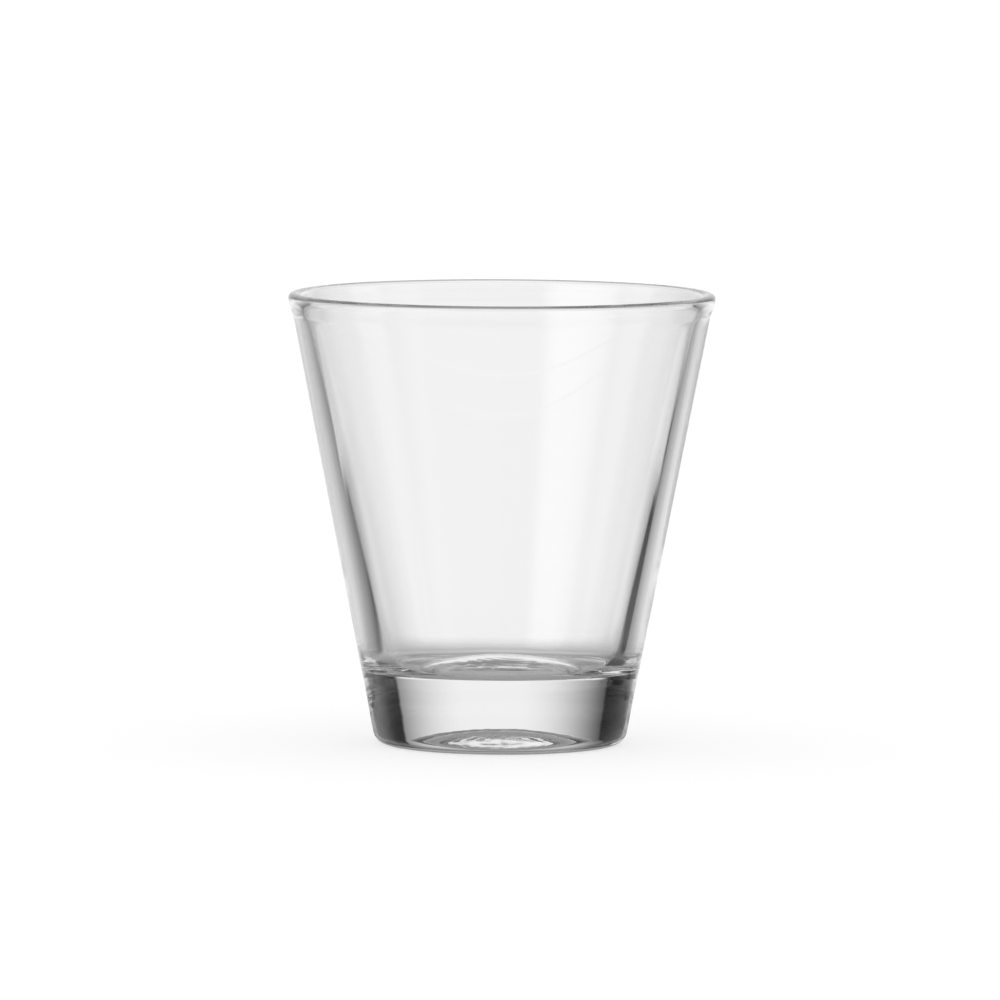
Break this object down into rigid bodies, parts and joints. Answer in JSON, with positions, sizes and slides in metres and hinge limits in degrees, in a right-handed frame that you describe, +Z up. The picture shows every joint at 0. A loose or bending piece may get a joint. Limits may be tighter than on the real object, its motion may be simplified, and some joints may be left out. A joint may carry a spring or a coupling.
{
  "type": "whisky glass",
  "caption": "Conical whisky tumbler of clear pressed glass, with a rounded lip, a wall that thickens downwards, a domed floor and a heavy base with a pushed-up underside.",
  "frame": {"origin": "centre of the foot, on the plane that the glass stands on", "axes": "+Z up along the axis of revolution, from the foot to the mouth; X and Y are any two level directions"},
  "size_m": [0.085, 0.085, 0.09],
  "materials": {
    "clear_glass": "clear colourless pressed soda-lime glass, fire-polished, smooth and glossy all over"
  },
  "bodies": {
    "root": {"tumbler": "clear_glass"}
  },
  "joints": []
}
